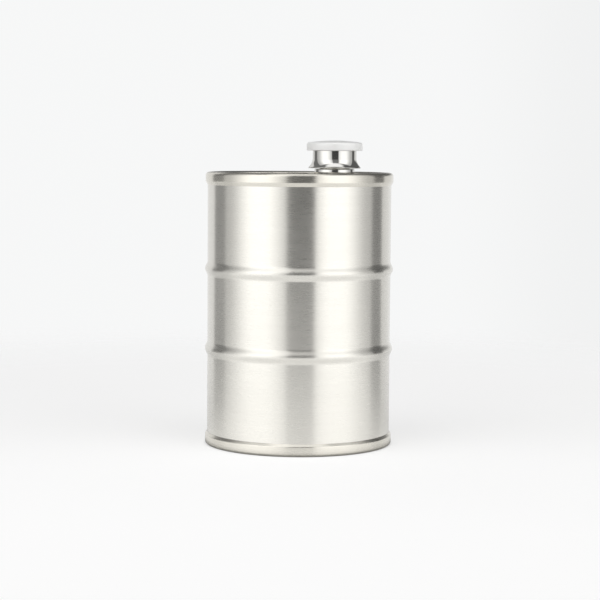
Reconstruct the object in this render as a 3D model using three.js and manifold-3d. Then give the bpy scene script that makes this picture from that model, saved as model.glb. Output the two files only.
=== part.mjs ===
// Barrel flask: a drum-shaped steel drinks flask with a screw cap on an offset neck.
// Millimetres, +Z up. The origin is the middle of the foot, on the surface that the flask stands on.

import * as THREE from "three";
import { mergeVertices } from "three/addons/utils/BufferGeometryUtils.js";
import Module from "manifold-3d";

const wasm = await Module();
wasm.setup();

// Clearance between pieces that nest, and between the flanks of the thread
const fitGap = 0.3;

// Barrel shell: a plain tube with two rolled hoops
const barrelHeight = 130.6; // foot to the crown of the top chime
const shellRadius = 44; // outside of the plain wall
const shellWall = 0.7;
const hoopRise = 1.2; // how far a hoop stands out of the wall
const hoopWidth = 7.4; // along the wall
const hoopSetback = 46.2; // middle of a hoop from the nearer end of the barrel

// Heads: pressed pans whose flanges stand inside the ends of the shell
const headWall = 0.7;
const headBend = 2; // outside radius of the bend between plate and flange
const deckRecess = 4.6; // plate of the top head below the crown of its chime
const baseRecess = 4.6; // plate of the base head above the foot
const baseDomeRise = 1.6;
const baseFlatWidth = 7; // flat ring between the bend and the dome of the base head

// Chimes: channel rings that close the shell and a head's flange together
const chimeWall = 0.7;
const chimeCrownRound = 1.2; // of the outer edge
const chimeInnerRound = 0.4;
const topChimeFall = 0.6; // how far the top chime's crown falls towards the deck
const topChimeLeg = 6.2; // height of the outer leg
const topChimeHem = 1.8; // height of the slope at the leg's free edge
const bottomChimeLeg = 5.95;
const bottomChimeHem = 1.25;

// Neck: a threaded spout clamped to the deck between its flange and a collar
const neckOffset = 16.7; // axis of the neck from the axis of the barrel
const neckBoreRadius = 6.2;
const neckWall = 1;
const neckReach = 9; // mouth above the crown of the top chime
const mouthRound = 0.3;
const neckFlangeWidth = 1.9;
const neckFlangeThickness = 0.8;
const collarWall = 2.2;
const collarBeadRise = 0.4;
const collarBeadHalf = 2.2; // half the height of the bead's ellipse
const collarBeadSetback = 1.6; // widest part of the bead below the top of the collar
const collarGap = 0.3; // collar to the lip of the cap

// Thread of the neck and of the cap's liner
const threadPitch = 2;
const threadHeight = 0.8;
const threadFlankSlope = 0.4; // axial run for each millimetre of height
const threadRunIn = 0.125; // turns over which a ridge grows to its full height
const threadEndMargin = 0.2; // from a ridge's foot to the end of its wall
const threadBury = 0.4; // how deep a ridge is rooted in its wall

// Cap: a bell-shaped skirt with a crown on it, a threaded liner and a sealing disc
const sealThickness = 1.2;
const linerWall = 1.25;
const linerHead = 1;
const linerSetback = 0.8; // mouth of the liner above the lip of the skirt
const skirtWall = 0.7;
const skirtHeight = 10.8;
const skirtLip = 0.4; // height of the upright lip
const lipRound = 0.3; // of the lip's lower edge
const flareHeight = 4;
const flareSpread = 2; // how far the lip stands out of the skirt
const flareBelly = 0.3; // how far the flare has spread where its curve is steered
const flareBellyHeight = 1.7; // that point above the lip
const crownOverhang = 2.85;
const crownEdge = 3.9;
const crownEdgeRound = 0.8;
const crownDome = 0.9;
const crownSocket = 2.7; // depth of the socket that takes the top of the skirt

// Faceting
const barrelSegments = 48;
const neckSegments = 32;
const threadSegments = 24; // per turn
const arcSteps = 3;
const curveSteps = 6;

// Places that follow from the sizes above
const shellBoreRadius = shellRadius - shellWall;
const shellInset = chimeWall + fitGap + topChimeFall; // end of the shell from the end of the barrel
const headFlangeRadius = shellBoreRadius - fitGap;
const headPlateRadius = headFlangeRadius - headBend;
const chimeOuterRadius = shellRadius + fitGap + chimeWall;
const chimeInnerLegRadius = headFlangeRadius - headWall - fitGap;
const chimeInnerRadius = chimeInnerLegRadius - chimeWall;
const deckTop = barrelHeight - deckRecess;

const neckRadius = neckBoreRadius + neckWall;
const threadCrestRadius = neckRadius + threadHeight;
const mouthHeight = barrelHeight + neckReach;
const linerBoreRadius = threadCrestRadius + fitGap;
const linerRadius = linerBoreRadius + linerWall;
const skirtBoreRadius = linerRadius + fitGap;
const skirtRadius = skirtBoreRadius + skirtWall;
const lipRadius = skirtRadius + flareSpread;
const crownRadius = skirtRadius + crownOverhang;

const sealBase = mouthHeight + fitGap;
const linerCeiling = sealBase + sealThickness + fitGap;
const skirtCeiling = linerCeiling + linerHead + fitGap;
const lipBase = skirtCeiling + skirtWall - skirtHeight;
const linerBase = lipBase + linerSetback;
const collarTop = lipBase - collarGap;

// Half the width of a ridge at its crest, so that two meshing ridges keep fitGap between their flanks
const threadOverlap = threadHeight - fitGap;
const threadCrestHalf = (threadPitch / 2 - fitGap - threadOverlap * threadFlankSlope) / 2;
const threadRootHalf = threadCrestHalf + threadHeight * threadFlankSlope;

// Finishes
const satinSteel = new THREE.MeshStandardMaterial({ color: 0xd3d1cb, roughness: 0.32, metalness: 1 });
const brightSteel = new THREE.MeshStandardMaterial({ color: 0xdad9d6, roughness: 0.18, metalness: 1 });
const mirrorChrome = new THREE.MeshStandardMaterial({ color: 0xe4e4e4, roughness: 0.06, metalness: 1 });
const linerPlastic = new THREE.MeshStandardMaterial({ color: 0xeeece6, roughness: 0.55, metalness: 0 });
const sealSilicone = new THREE.MeshStandardMaterial({ color: 0xd9dcdc, roughness: 0.7, metalness: 0 });

// Points on an elliptical arc in the plane of a profile, ends included. Angles in degrees.
function arc(centreRadius, centreHeight, across, along, fromDegrees, toDegrees) {
  return Array.from({ length: arcSteps + 1 }, (_, i) => {
    const angle = THREE.MathUtils.degToRad(fromDegrees + ((toDegrees - fromDegrees) * i) / arcSteps);
    return [centreRadius + across * Math.cos(angle), centreHeight + along * Math.sin(angle)];
  });
}

// Points on a curve steered from one point to another by a third, ends included.
function steeredCurve(from, steer, to) {
  const curve = new THREE.QuadraticBezierCurve(
    new THREE.Vector2(...from),
    new THREE.Vector2(...steer),
    new THREE.Vector2(...to),
  );
  return curve.getPoints(curveSteps).map((point) => [point.x, point.y]);
}

// A profile of [radius, height] points, counter-clockwise, turned about Z. A ring's profile is closed here.
function turned(profile, segments) {
  const touchesAxis = profile[0][0] === 0;
  const outline = touchesAxis ? profile : [...profile, profile[0]];
  const points = outline.map(([radius, height]) => new THREE.Vector2(radius, height));
  return new THREE.LatheGeometry(points, segments).rotateX(Math.PI / 2);
}

function solidOf(geometry) {
  const bare = geometry.clone();
  bare.deleteAttribute("normal");
  bare.deleteAttribute("uv");
  const merged = mergeVertices(bare, 1e-4);
  return new wasm.Manifold(
    new wasm.Mesh({
      numProp: 3,
      vertProperties: merged.attributes.position.array,
      triVerts: new Uint32Array(merged.index.array),
    }),
  );
}

function geometryOf(solid) {
  const mesh = solid.getMesh();
  return new THREE.BufferGeometry()
    .setAttribute("position", new THREE.BufferAttribute(mesh.vertProperties, 3))
    .setIndex(new THREE.BufferAttribute(mesh.triVerts, 1));
}

function piece(name, geometry, material) {
  const mesh = new THREE.Mesh(geometry, material);
  mesh.name = name;
  return mesh;
}

// Radius of the shell's outside at a height: a hoop is one smooth swell of the wall.
function shellRadiusAt(height) {
  const hoopMiddles = [hoopSetback, barrelHeight - hoopSetback];
  const swell = hoopMiddles.map((middle) => {
    const share = Math.min(1, Math.abs(height - middle) / (hoopWidth / 2));
    return hoopRise * Math.cos((share * Math.PI) / 2) ** 2;
  });
  return shellRadius + Math.max(...swell);
}

function barrelShell() {
  const hoopHeights = [hoopSetback, barrelHeight - hoopSetback].flatMap((middle) =>
    Array.from({ length: curveSteps + 1 }, (_, i) => middle + hoopWidth * (i / curveSteps - 0.5)),
  );
  const heights = [shellInset, ...hoopHeights, barrelHeight - shellInset];
  const outside = heights.map((height) => [shellRadiusAt(height), height]);
  const inside = outside.map(([radius, height]) => [radius - shellWall, height]).reverse();
  return turned([...outside, ...inside], barrelSegments);
}

// A profile turned over, for the other end of the barrel.
function upsideDown(profile) {
  return profile.map(([radius, height]) => [radius, barrelHeight - height]).reverse();
}

// A chime as it sits on the top of the barrel: an inverted channel whose crown may fall inwards.
function chimeProfile({ plateRecess, leg, hem, crownFall }) {
  const crown = barrelHeight;
  const innerLegFoot = crown - plateRecess + headBend - headWall + fitGap;
  const outerLegFoot = crown - leg;
  const round = chimeCrownRound;
  const innerRound = chimeInnerRound;
  return [
    [chimeInnerRadius, innerLegFoot],
    [chimeInnerLegRadius, innerLegFoot],
    [chimeInnerLegRadius, crown - crownFall - chimeWall],
    [chimeOuterRadius - chimeWall, crown - chimeWall],
    [chimeOuterRadius - chimeWall, outerLegFoot],
    [chimeOuterRadius, outerLegFoot + hem],
    ...arc(chimeOuterRadius - round, crown - round, round, round, 0, 90),
    ...arc(chimeInnerRadius + innerRound, crown - crownFall - innerRound, innerRound, innerRound, 90, 180),
  ];
}

function topChime() {
  const profile = chimeProfile({
    plateRecess: deckRecess,
    leg: topChimeLeg,
    hem: topChimeHem,
    crownFall: topChimeFall,
  });
  return turned(profile, barrelSegments);
}

function bottomChime() {
  const profile = chimeProfile({
    plateRecess: baseRecess,
    leg: bottomChimeLeg,
    hem: bottomChimeHem,
    crownFall: 0,
  });
  return turned(upsideDown(profile), barrelSegments);
}

// A pan from its plate's outer edge round to its flange and back, open side up.
function panRim(plateTop) {
  const plateUnder = plateTop - headWall;
  const flangeTop = barrelHeight - shellInset;
  const bendHeight = plateUnder + headBend;
  const innerBend = headBend - headWall;
  return [
    ...arc(headPlateRadius, bendHeight, headBend, headBend, -90, 0),
    [headFlangeRadius, flangeTop],
    [headFlangeRadius - headWall, flangeTop],
    ...arc(headPlateRadius, bendHeight, innerBend, innerBend, 0, -90),
  ];
}

function topHead() {
  const profile = [[0, deckTop - headWall], ...panRim(deckTop), [0, deckTop]];
  const holeRadius = neckRadius + fitGap;
  const cutterLength = 3 * headWall;
  const neckHole = new THREE.CylinderGeometry(holeRadius, holeRadius, cutterLength, neckSegments);
  neckHole.rotateX(Math.PI / 2).translate(neckOffset, 0, deckTop - headWall / 2);
  return geometryOf(solidOf(turned(profile, barrelSegments)).subtract(solidOf(neckHole)));
}

// The base head is a pan like the top one, upside down, with its middle pressed up into the barrel.
function baseHead() {
  const plateTop = barrelHeight - baseRecess;
  const domeRadius = headPlateRadius - baseFlatWidth;
  const dome = Array.from({ length: arcSteps + 1 }, (_, i) => {
    const share = i / arcSteps;
    return [domeRadius * share, -baseDomeRise * Math.cos((share * Math.PI) / 2) ** 2];
  });
  const under = dome.map(([radius, sink]) => [radius, plateTop - headWall + sink]);
  const over = dome.map(([radius, sink]) => [radius, plateTop + sink]).reverse();
  return turned(upsideDown([...under, ...panRim(plateTop), ...over]), barrelSegments);
}

// A ridge of the thread as a closed solid along a helix, rooted in the wall that carries it.
// The helix passes the height `datum` at angle 0. `outward` is 1 on a spout and -1 in a bore.
function threadRidge({ wallRadius, outward, datum, fromHeight, toHeight }) {
  const rootRadius = wallRadius - outward * threadBury;
  const ridgeHeight = threadHeight + threadBury;
  const rootHalf = threadCrestHalf + ridgeHeight * threadFlankSlope;
  const turns = (toHeight - fromHeight) / threadPitch;
  const steps = Math.ceil(turns * threadSegments);
  const positions = [];
  for (let i = 0; i <= steps; i++) {
    const turn = (turns * i) / steps;
    const middle = fromHeight + turn * threadPitch;
    const angle = (2 * Math.PI * (middle - datum)) / threadPitch;
    const grown = THREE.MathUtils.smoothstep(Math.min(turn, turns - turn), 0, threadRunIn);
    const rise = THREE.MathUtils.lerp(threadBury / 2, ridgeHeight, grown);
    const crestHalf = rootHalf - rise * threadFlankSlope;
    const crestRadius = rootRadius + outward * rise;
    const section = [
      [rootRadius, middle - rootHalf],
      [crestRadius, middle - crestHalf],
      [crestRadius, middle + crestHalf],
      [rootRadius, middle + rootHalf],
    ];
    for (const [radius, height] of section) {
      positions.push(radius * Math.cos(angle), radius * Math.sin(angle), height);
    }
  }
  const corners = positions.length / 3 / (steps + 1);
  const indices = [];
  const addQuad = (a, b, c, d) => {
    const faces = outward > 0 ? [a, b, c, a, c, d] : [a, c, b, a, d, c];
    indices.push(...faces);
  };
  for (let i = 0; i < steps; i++) {
    const here = i * corners;
    const next = here + corners;
    for (let k = 0; k < corners; k++) {
      const m = (k + 1) % corners;
      addQuad(here + k, next + k, next + m, here + m);
    }
  }
  const last = steps * corners;
  addQuad(0, 1, 2, 3);
  addQuad(last + 3, last + 2, last + 1, last);
  return new THREE.BufferGeometry()
    .setAttribute("position", new THREE.Float32BufferAttribute(positions, 3))
    .setIndex(indices);
}

function neckTube() {
  const flangeTop = deckTop - headWall - fitGap;
  const foot = flangeTop - neckFlangeThickness;
  const flangeRadius = neckRadius + neckFlangeWidth;
  const tube = turned(
    [
      [neckBoreRadius, foot],
      [flangeRadius, foot],
      [flangeRadius, flangeTop],
      [neckRadius, flangeTop],
      ...arc(neckRadius - mouthRound, mouthHeight - mouthRound, mouthRound, mouthRound, 0, 90),
      ...arc(neckBoreRadius + mouthRound, mouthHeight - mouthRound, mouthRound, mouthRound, 90, 180),
    ],
    neckSegments,
  );
  const ridge = threadRidge({
    wallRadius: neckRadius,
    outward: 1,
    datum: mouthHeight,
    fromHeight: linerBase + threadRootHalf + threadEndMargin,
    toHeight: mouthHeight - mouthRound - threadRootHalf - threadEndMargin,
  });
  return geometryOf(solidOf(tube).add(solidOf(ridge)));
}

function neckCollar() {
  const bore = neckRadius + fitGap;
  const side = bore + collarWall - collarBeadRise;
  const beadMiddle = collarTop - collarBeadSetback;
  const beadEnd = THREE.MathUtils.radToDeg(Math.asin(collarBeadSetback / collarBeadHalf));
  return turned(
    [
      [bore, deckTop],
      [side, deckTop],
      ...arc(side, beadMiddle, collarBeadRise, collarBeadHalf, -90, 0),
      ...arc(side, beadMiddle, collarBeadRise, collarBeadHalf, 0, beadEnd).slice(1),
      [bore, collarTop],
    ],
    neckSegments,
  );
}

// The cap's pieces are in the cap's own frame, with the lip of the skirt at height 0.
function capSkirt() {
  const top = skirtHeight;
  const flareTop = skirtLip + flareHeight;
  const outerFlare = steeredCurve(
    [lipRadius, skirtLip],
    [skirtRadius + flareBelly, skirtLip + flareBellyHeight],
    [skirtRadius, flareTop],
  );
  const innerFlare = steeredCurve(
    [skirtBoreRadius, flareTop - skirtWall],
    [skirtBoreRadius + flareBelly, flareBellyHeight],
    [lipRadius - skirtWall, 0],
  );
  const lip = arc(lipRadius - lipRound, lipRound, lipRound, lipRound, -90, 0);
  return turned(
    [
      [0, top - skirtWall],
      [skirtBoreRadius, top - skirtWall],
      ...innerFlare,
      ...lip,
      ...outerFlare,
      [skirtRadius, top],
      [0, top],
    ],
    neckSegments,
  );
}

function capCrown() {
  const ceiling = skirtHeight + fitGap;
  const under = ceiling - crownSocket;
  const edgeTop = under + crownEdge;
  const socketRadius = skirtRadius + fitGap;
  const roundRadius = crownRadius - crownEdgeRound;
  const dome = steeredCurve(
    [roundRadius, edgeTop],
    [roundRadius / 2, edgeTop + crownDome],
    [0, edgeTop + crownDome],
  );
  return turned(
    [
      [0, ceiling],
      [socketRadius, ceiling],
      [socketRadius, under],
      ...arc(roundRadius, under + crownEdgeRound, crownEdgeRound, crownEdgeRound, -90, 0),
      ...arc(roundRadius, edgeTop - crownEdgeRound, crownEdgeRound, crownEdgeRound, 0, 90),
      ...dome.slice(1),
    ],
    neckSegments,
  );
}

function capLiner() {
  const foot = linerSetback;
  const ceiling = linerCeiling - lipBase;
  const top = ceiling + linerHead;
  const cup = turned(
    [
      [0, ceiling],
      [linerBoreRadius, ceiling],
      [linerBoreRadius, foot],
      [linerRadius, foot],
      [linerRadius, top],
      [0, top],
    ],
    neckSegments,
  );
  const ridge = threadRidge({
    wallRadius: linerBoreRadius,
    outward: -1,
    datum: mouthHeight - lipBase + threadPitch / 2,
    fromHeight: foot + threadRootHalf + threadEndMargin,
    toHeight: sealBase - lipBase - threadRootHalf - threadEndMargin,
  });
  return geometryOf(solidOf(cup).add(solidOf(ridge)));
}

function capSeal() {
  const base = sealBase - lipBase;
  const radius = linerBoreRadius - fitGap;
  return turned(
    [
      [0, base],
      [radius, base],
      [radius, base + sealThickness],
      [0, base + sealThickness],
    ],
    neckSegments,
  );
}

const barrel = new THREE.Group();
barrel.add(
  piece("barrel_shell", barrelShell(), satinSteel),
  piece("top_head", topHead(), satinSteel),
  piece("base_head", baseHead(), satinSteel),
  piece("top_chime", topChime(), brightSteel),
  piece("bottom_chime", bottomChime(), brightSteel),
);

const cap = new THREE.Group();
cap.position.z = lipBase;
cap.add(
  piece("cap_skirt", capSkirt(), mirrorChrome),
  piece("cap_crown", capCrown(), brightSteel),
  piece("cap_liner", capLiner(), linerPlastic),
  piece("cap_seal", capSeal(), sealSilicone),
);

const spout = new THREE.Group();
spout.position.x = neckOffset;
spout.add(
  piece("neck_tube", neckTube(), brightSteel),
  piece("neck_collar", neckCollar(), mirrorChrome),
  cap,
);

const flask = new THREE.Group();
flask.name = "barrel_flask";
flask.add(barrel, spout);

export default flask;
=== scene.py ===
"""Looks of a drum-shaped steel drinks flask with a screw cap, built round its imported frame.

Sizes of pieces are in millimetres. A profile is a list of (radius, height) points about its piece's own axis,
and runs counter-clockwise, so that the turned faces point outwards. Node trees and the studio are in metres.
"""

import logging
import math
from dataclasses import dataclass, field
from enum import Enum
from typing import Any

import bpy
from mathutils import Euler, Matrix, Vector

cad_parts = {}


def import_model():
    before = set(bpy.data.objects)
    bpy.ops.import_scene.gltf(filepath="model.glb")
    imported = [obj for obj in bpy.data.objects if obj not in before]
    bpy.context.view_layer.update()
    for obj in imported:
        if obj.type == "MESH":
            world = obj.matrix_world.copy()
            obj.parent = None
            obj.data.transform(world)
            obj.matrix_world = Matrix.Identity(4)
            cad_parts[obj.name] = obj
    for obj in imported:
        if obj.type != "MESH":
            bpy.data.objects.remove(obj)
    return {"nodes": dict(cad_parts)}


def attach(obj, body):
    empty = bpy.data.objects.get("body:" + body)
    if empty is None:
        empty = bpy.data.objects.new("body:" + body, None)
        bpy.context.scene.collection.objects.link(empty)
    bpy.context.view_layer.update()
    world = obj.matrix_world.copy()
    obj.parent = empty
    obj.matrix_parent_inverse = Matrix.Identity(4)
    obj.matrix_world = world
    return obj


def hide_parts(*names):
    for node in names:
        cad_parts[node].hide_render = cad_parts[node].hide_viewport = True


frame: dict[str, Any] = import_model()

LOG = logging.getLogger("barrel_flask")
MM = 0.001

# Chords in an arc, in the rounding of a thin edge and in a steered curve
ARC_STEPS = 10
EDGE_STEPS = 6
CURVE_STEPS = 16

# Faces round the axis of a plain piece and of a threaded one
SEGMENTS = 192
THREADED_SEGMENTS = 96

Point = tuple[float, float]
Triple = tuple[float, float, float]
Profile = list[Point]
Colour = tuple[float, float, float, float]
Socket = bpy.types.NodeSocket


class Body(Enum):
    """The bodies that pieces ride on."""

    FLASK = "flask"
    SEAL = "seal"
    CAP = "cap"


class Slot(Enum):
    """The record's material slots."""

    SATIN_STEEL = "satin_steel"
    BRIGHT_STEEL = "bright_steel"
    MIRROR_CHROME = "mirror_chrome"
    SATIN_CROWN = "satin_crown"
    LINER_PLASTIC = "liner_plastic"
    SEAL_SILICONE = "seal_silicone"


# Profiles


def arc(centre: Point, radii: Point, start: float, stop: float, steps: int = ARC_STEPS) -> Profile:
    """Points on an elliptical arc, ends included.

    Args:
        centre: Middle of the ellipse, in mm.
        radii: Half its width and half its height, in mm.
        start: First angle in degrees, counter-clockwise from the outward direction.
        stop: Last angle in degrees.
        steps: Number of chords.

    Returns:
        The points, from start to stop.
    """
    angles = [math.radians(start + (stop - start) * i / steps) for i in range(steps + 1)]
    return [(centre[0] + radii[0] * math.cos(a), centre[1] + radii[1] * math.sin(a)) for a in angles]


def rounded(centre: Point, radius: float, start: float, stop: float, steps: int = ARC_STEPS) -> Profile:
    """Points on a round arc, ends included, with its angles as in an elliptical one."""
    return arc(centre, (radius, radius), start, stop, steps)


def steered(first: Point, steer: Point, last: Point, steps: int = CURVE_STEPS) -> Profile:
    """Points on a curve that leaves towards a steering point and arrives from it, ends included.

    Args:
        first: Start of the curve, in mm.
        steer: Point that both ends aim at, in mm.
        last: End of the curve, in mm.
        steps: Number of chords.

    Returns:
        The points, from first to last.
    """
    points = []
    for i in range(steps + 1):
        t = i / steps
        weights = ((1 - t) ** 2, 2 * t * (1 - t), t * t)
        points.append(tuple(sum(w * p[k] for w, p in zip(weights, (first, steer, last))) for k in (0, 1)))
    return points


def ring(profile: Profile) -> Profile:
    """The profile of a ring, closed on its first point."""
    return [*profile, profile[0]]


def upside_down(profile: Profile, height: float) -> Profile:
    """The profile turned over between the ends of a barrel of that height."""
    return [(radius, height - z) for radius, z in reversed(profile)]


# Node trees


class NodePad:
    """Adds nodes to one node tree and wires them up.

    A Mix node's sockets go by the data: 2, 3 and result 0 for numbers, 6, 7 and result 2 for colours.
    """

    def __init__(self, tree: bpy.types.NodeTree) -> None:
        """Takes the tree to work on."""
        self.tree = tree

    def feed(self, socket: Socket, value: Any) -> None:
        """Links a socket to an output, or sets its own value.

        Args:
            socket: The input to feed.
            value: An output socket, or a plain value.
        """
        if isinstance(value, Socket):
            self.tree.links.new(value, socket)
        else:
            socket.default_value = value

    def add(self, kind: str, inputs: dict[int | str, Any] | None = None, **settings: Any) -> bpy.types.Node:
        """Adds a node.

        Args:
            kind: Blender's name for the node's type.
            inputs: What feeds each input, by its name or number.
            **settings: The node's own properties.

        Returns:
            The new node.
        """
        node = self.tree.nodes.new(kind)
        for name, value in settings.items():
            setattr(node, name, value)
        for key, value in (inputs or {}).items():
            self.feed(node.inputs[key], value)
        return node

    def math(self, operation: str, *values: Any) -> Socket:
        """Adds a Math node and returns its result."""
        return self.add("ShaderNodeMath", dict(enumerate(values)), operation=operation).outputs[0]

    def remap(self, value: Any, source: Point, target: Point = (0.0, 1.0), smooth: bool = False) -> Socket:
        """Carries a value from one range to another, clamped.

        Args:
            value: The value or output to carry over.
            source: Range that it comes from.
            target: Range that it goes to.
            smooth: Whether it eases in and out.

        Returns:
            The carried value.
        """
        kind = "SMOOTHSTEP" if smooth else "LINEAR"
        inputs = {0: value, 1: source[0], 2: source[1], 3: target[0], 4: target[1]}
        return self.add("ShaderNodeMapRange", inputs, interpolation_type=kind).outputs[0]

    def blend(self, factor: Socket, first: Socket, second: Socket) -> Socket:
        """Passes from one value to another, as a factor goes from 0 to 1."""
        return self.add("ShaderNodeMix", {0: factor, 2: first, 3: second}, data_type="FLOAT").outputs[0]

    def darkened(self, mask: Socket, colour: Colour, share: float) -> Socket:
        """Makes a colour that is darker where a mask is 1.

        Args:
            mask: Where it is darker, from 0 to 1.
            colour: The colour where the mask is 0.
            share: Share of it that is left where the mask is 1.

        Returns:
            The colour over the surface.
        """
        darker = (*(share * channel for channel in colour[:3]), colour[3])
        return self.add("ShaderNodeMix", {0: mask, 6: colour, 7: darker}, data_type="RGBA").outputs[2]


def new_tree(name: str, kind: str, inputs: dict[str, str], outputs: dict[str, str]) -> bpy.types.NodeTree:
    """Makes an empty node group with named sockets.

    Args:
        name: The group's name.
        kind: Blender's name for the tree's type.
        inputs: Socket types by name.
        outputs: Socket types by name.

    Returns:
        The group, with nothing in it.
    """
    tree = bpy.data.node_groups.new(name, kind)
    for in_out, sockets in (("INPUT", inputs), ("OUTPUT", outputs)):
        for socket, socket_type in sockets.items():
            tree.interface.new_socket(socket, in_out=in_out, socket_type=socket_type)
    return tree


def new_material(name: str) -> tuple[bpy.types.Material, NodePad]:
    """Makes a material with no nodes in it.

    Args:
        name: The material's name.

    Returns:
        The material and a pad for its node tree.
    """
    material = bpy.data.materials.new(name)
    material.use_nodes = True
    material.node_tree.nodes.clear()
    return material, NodePad(material.node_tree)


class TurningLathe:
    """Turns profiles into closed meshes, and winds threads on them, by Geometry Nodes.

    Attributes:
        merge_distance: Points closer than this become one, in metres.
        sharp_angle: Edges that bend by more than this stay sharp.
        ridge_end: Share of a thread's ridge that is left at its two ends.
    """

    merge_distance = 2e-6
    sharp_angle = math.radians(38)
    ridge_end = 0.15

    def __init__(self) -> None:
        """Builds both node trees."""
        self.turning = self._turning_tree()
        self.threading = self._threading_tree()

    def _turning_tree(self) -> bpy.types.NodeTree:
        """Builds the tree that sweeps a profile round an axis.

        Returns:
            The tree. Its geometry is the profile, as a chain of points whose X is a ring's radius, whose Y is
            how far the ring stands off the axis along X, and whose Z is its height.
        """
        tree = new_tree(
            "turned_piece",
            "GeometryNodeTree",
            {
                "Profile": "NodeSocketGeometry",
                "Segments": "NodeSocketInt",
                "Axis X": "NodeSocketFloat",
                "Material": "NodeSocketMaterial",
            },
            {"Geometry": "NodeSocketGeometry"},
        )
        pad = NodePad(tree)
        given = pad.add("NodeGroupInput").outputs
        # The grid is a unit square about the origin.
        # Its X becomes the turn and its Y the way along the profile.
        half_grid = 0.5
        count = pad.add("GeometryNodeAttributeDomainSize", {0: given["Profile"]}).outputs["Point Count"]
        columns = pad.math("ADD", given["Segments"], 1)
        grid = pad.add("GeometryNodeMeshGrid", {"Vertices X": columns, "Vertices Y": count})
        place = pad.add("GeometryNodeInputPosition").outputs[0]
        cell = pad.add("ShaderNodeSeparateXYZ", {0: place}).outputs
        along = pad.math("MULTIPLY", pad.math("ADD", cell[1], half_grid), pad.math("SUBTRACT", count, 1))
        sample = pad.add("GeometryNodeSampleIndex", data_type="FLOAT_VECTOR", domain="POINT")
        pad.feed(sample.inputs["Geometry"], given["Profile"])
        pad.feed(sample.inputs["Value"], place)
        pad.feed(sample.inputs["Index"], pad.math("ROUND", along))
        point = pad.add("ShaderNodeSeparateXYZ", {0: sample.outputs[0]}).outputs
        angle = pad.math("MULTIPLY", pad.math("ADD", cell[0], half_grid), 2 * math.pi)
        middle = pad.math("ADD", given["Axis X"], point[1])
        across = pad.math("MULTIPLY_ADD", point[0], pad.math("COSINE", angle), middle)
        depth = pad.math("MULTIPLY", point[0], pad.math("SINE", angle))
        swept = pad.add("ShaderNodeCombineXYZ", {0: across, 1: depth, 2: point[2]}).outputs[0]
        mapped = pad.add("GeometryNodeStoreNamedAttribute", data_type="FLOAT2", domain="CORNER")
        pad.feed(mapped.inputs["Geometry"], grid.outputs["Mesh"])
        pad.feed(mapped.inputs["Name"], "UVMap")
        pad.feed(mapped.inputs["Value"], grid.outputs["UV Map"])
        bent = pad.add("GeometryNodeSetPosition", {"Geometry": mapped.outputs[0], "Position": swept})
        closed = pad.add("GeometryNodeMergeByDistance", {0: bent.outputs[0], "Distance": self.merge_distance})
        smooth = pad.add("GeometryNodeSetShadeSmooth", {0: closed.outputs[0]}, domain="FACE")
        pad.feed(smooth.inputs["Shade Smooth"], True)
        bend = pad.add("GeometryNodeInputMeshEdgeAngle").outputs["Unsigned Angle"]
        sharp = pad.add("GeometryNodeSetShadeSmooth", {0: smooth.outputs[0]}, domain="EDGE")
        pad.feed(sharp.inputs["Selection"], pad.math("GREATER_THAN", bend, self.sharp_angle))
        pad.feed(sharp.inputs["Shade Smooth"], False)
        self._end(pad, sharp.outputs[0], given["Material"])
        return tree

    def _threading_tree(self) -> bpy.types.NodeTree:
        """Builds the tree that adds the helical ridge of a thread to a turned piece.

        Returns:
            The tree. Its geometry is the piece that carries the thread.
        """
        tree = new_tree(
            "thread_ridge",
            "GeometryNodeTree",
            {
                "Piece": "NodeSocketGeometry",
                "Axis X": "NodeSocketFloat",
                "Root Radius": "NodeSocketFloat",
                "Crest Reach": "NodeSocketFloat",
                "Root Half": "NodeSocketFloat",
                "Crest Half": "NodeSocketFloat",
                "Start Height": "NodeSocketFloat",
                "Start Angle": "NodeSocketFloat",
                "Turns": "NodeSocketFloat",
                "Pitch": "NodeSocketFloat",
                "Run In": "NodeSocketFloat",
                "Steps": "NodeSocketInt",
                "Material": "NodeSocketMaterial",
            },
            {"Geometry": "NodeSocketGeometry"},
        )
        pad = NodePad(tree)
        given = pad.add("NodeGroupInput").outputs
        helix = pad.add(
            "GeometryNodeCurveSpiral",
            {
                "Resolution": given["Steps"],
                "Rotations": given["Turns"],
                "Start Radius": given["Root Radius"],
                "End Radius": given["Root Radius"],
                "Height": pad.math("MULTIPLY", given["Turns"], given["Pitch"]),
                "Reverse": True,
            },
        )
        upright = pad.add("GeometryNodeSetCurveNormal", {0: helix.outputs[0]}, mode="Z_UP")
        section = pad.add("GeometryNodeCurvePrimitiveQuadrilateral", mode="POINTS")
        side = pad.math("SIGN", given["Crest Reach"])
        corners = (("Root Half", 0, -1), ("Crest Half", 1, -1), ("Crest Half", 1, 1), ("Root Half", 0, 1))
        for number, (half, reach, rise) in enumerate(corners, start=1):
            out = pad.math("MULTIPLY", given["Crest Reach"], reach)
            up = pad.math("MULTIPLY", given[half], pad.math("MULTIPLY", side, rise))
            corner = pad.add("ShaderNodeCombineXYZ", {0: out, 1: up}).outputs[0]
            pad.feed(section.inputs[f"Point {number}"], corner)
        factor = pad.add("GeometryNodeSplineParameter").outputs["Factor"]
        turned = pad.math("MULTIPLY", factor, given["Turns"])
        to_end = pad.math("MINIMUM", turned, pad.math("SUBTRACT", given["Turns"], turned))
        share = pad.math("DIVIDE", to_end, given["Run In"])
        ridge = pad.add("GeometryNodeCurveToMesh", {"Curve": upright.outputs[0]})
        pad.feed(ridge.inputs["Profile Curve"], section.outputs[0])
        pad.feed(ridge.inputs["Scale"], pad.remap(share, (0.0, 1.0), (self.ridge_end, 1.0), smooth=True))
        pad.feed(ridge.inputs["Fill Caps"], True)
        flat = pad.add("GeometryNodeSetShadeSmooth", {0: ridge.outputs[0]}, domain="FACE")
        pad.feed(flat.inputs["Shade Smooth"], False)
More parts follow.
